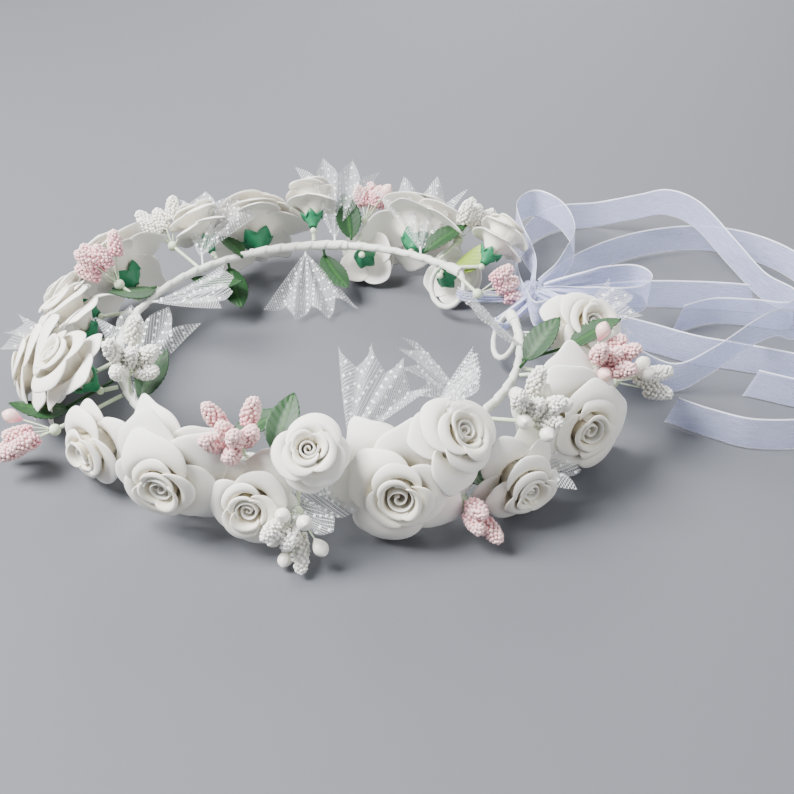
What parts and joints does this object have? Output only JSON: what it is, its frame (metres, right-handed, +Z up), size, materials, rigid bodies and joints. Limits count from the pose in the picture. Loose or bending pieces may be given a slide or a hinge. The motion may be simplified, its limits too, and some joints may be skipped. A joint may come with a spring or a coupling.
{
  "type": "flower crown",
  "caption": "Bridal flower crown: a paper-wrapped wire ring with white foam roses, pink and white stamen sprays, leaves and dotted tulle, tied at the back with organza ribbon.",
  "frame": {"origin": "middle of the band's circle, on the surface that the crown lies on", "axes": "+Z up, the way the crown is put on over a head; -Y towards the front of the crown; +X towards the ribbon's side"},
  "size_m": [0.3748, 0.277, 0.0622],
  "materials": {
    "steel_wire": "drawn steel wire",
    "paper_tape": "crinkled white paper tape",
    "covered_wire": "thread-covered wire",
    "calyx_green": "soft green plastic",
    "rose_foam": "matte foam sheet",
    "pink_stamen": "grained, matte",
    "white_stamen": "grained, matte",
    "leaf_fabric": "pressed fabric leaf",
    "tulle": "fine net with raised dots",
    "organza": "sheer woven ribbon"
  },
  "bodies": {
    "crown": {"band_wire": "steel_wire", "band_wrap": "paper_tape", "band_seam": "paper_tape", "left_eyelet": "paper_tape", "right_eyelet": "paper_tape", "end_bindings": "paper_tape", "rose_stems": "covered_wire", "spray_stems": "covered_wire", "calyxes": "calyx_green", "large_rose_1": "rose_foam", "large_rose_2": "rose_foam", "large_rose_3": "rose_foam", "large_rose_4": "rose_foam", "large_rose_5": "rose_foam", "large_rose_6": "rose_foam", "large_rose_7": "rose_foam", "medium_rose_5": "rose_foam", "medium_rose_1": "rose_foam", "medium_rose_2": "rose_foam", "medium_rose_3": "rose_foam", "medium_rose_4": "rose_foam", "small_rose_7": "rose_foam", "medium_rose_6": "rose_foam", "medium_rose_7": "rose_foam", "small_rose_1": "rose_foam", "small_rose_2": "rose_foam", "small_rose_3": "rose_foam", "small_rose_4": "rose_foam", "small_rose_5": "rose_foam", "small_rose_6": "rose_foam", "pink_spray_1": "pink_stamen", "pink_spray_2": "pink_stamen", "pink_spray_3": "pink_stamen", "pink_spray_4": "pink_stamen", "pink_spray_5": "pink_stamen", "pink_spray_6": "pink_stamen", "pink_spray_7": "pink_stamen", "white_spray_1": "white_stamen", "white_spray_2": "white_stamen", "white_spray_3": "white_stamen", "white_spray_4": "white_stamen", "white_spray_5": "white_stamen", "white_spray_6": "white_stamen", "leaves_front": "leaf_fabric", "leaves_side": "leaf_fabric", "leaves_back": "leaf_fabric", "tulle_front": "tulle", "tulle_left": "tulle", "tulle_back": "tulle", "tulle_right": "tulle", "ribbon_knot": "organza", "ribbon_links": "organza", "ribbon_loop_back": "organza", "ribbon_loop_side": "organza", "ribbon_loop_front": "organza"},
    "ribbon_tails": {"ribbon_tail_1": "organza", "ribbon_tail_2": "organza", "ribbon_tail_3": "organza", "ribbon_tail_4": "organza", "ribbon_tail_5": "organza"}
  },
  "joints": [
    {"name": "tail_swing", "type": "hinge", "parent": "crown", "child": "ribbon_tails", "pos_m": [0.096, 0.047, 0], "axis": [0, 0, 1], "range_deg": [0, 20]}
  ]
}
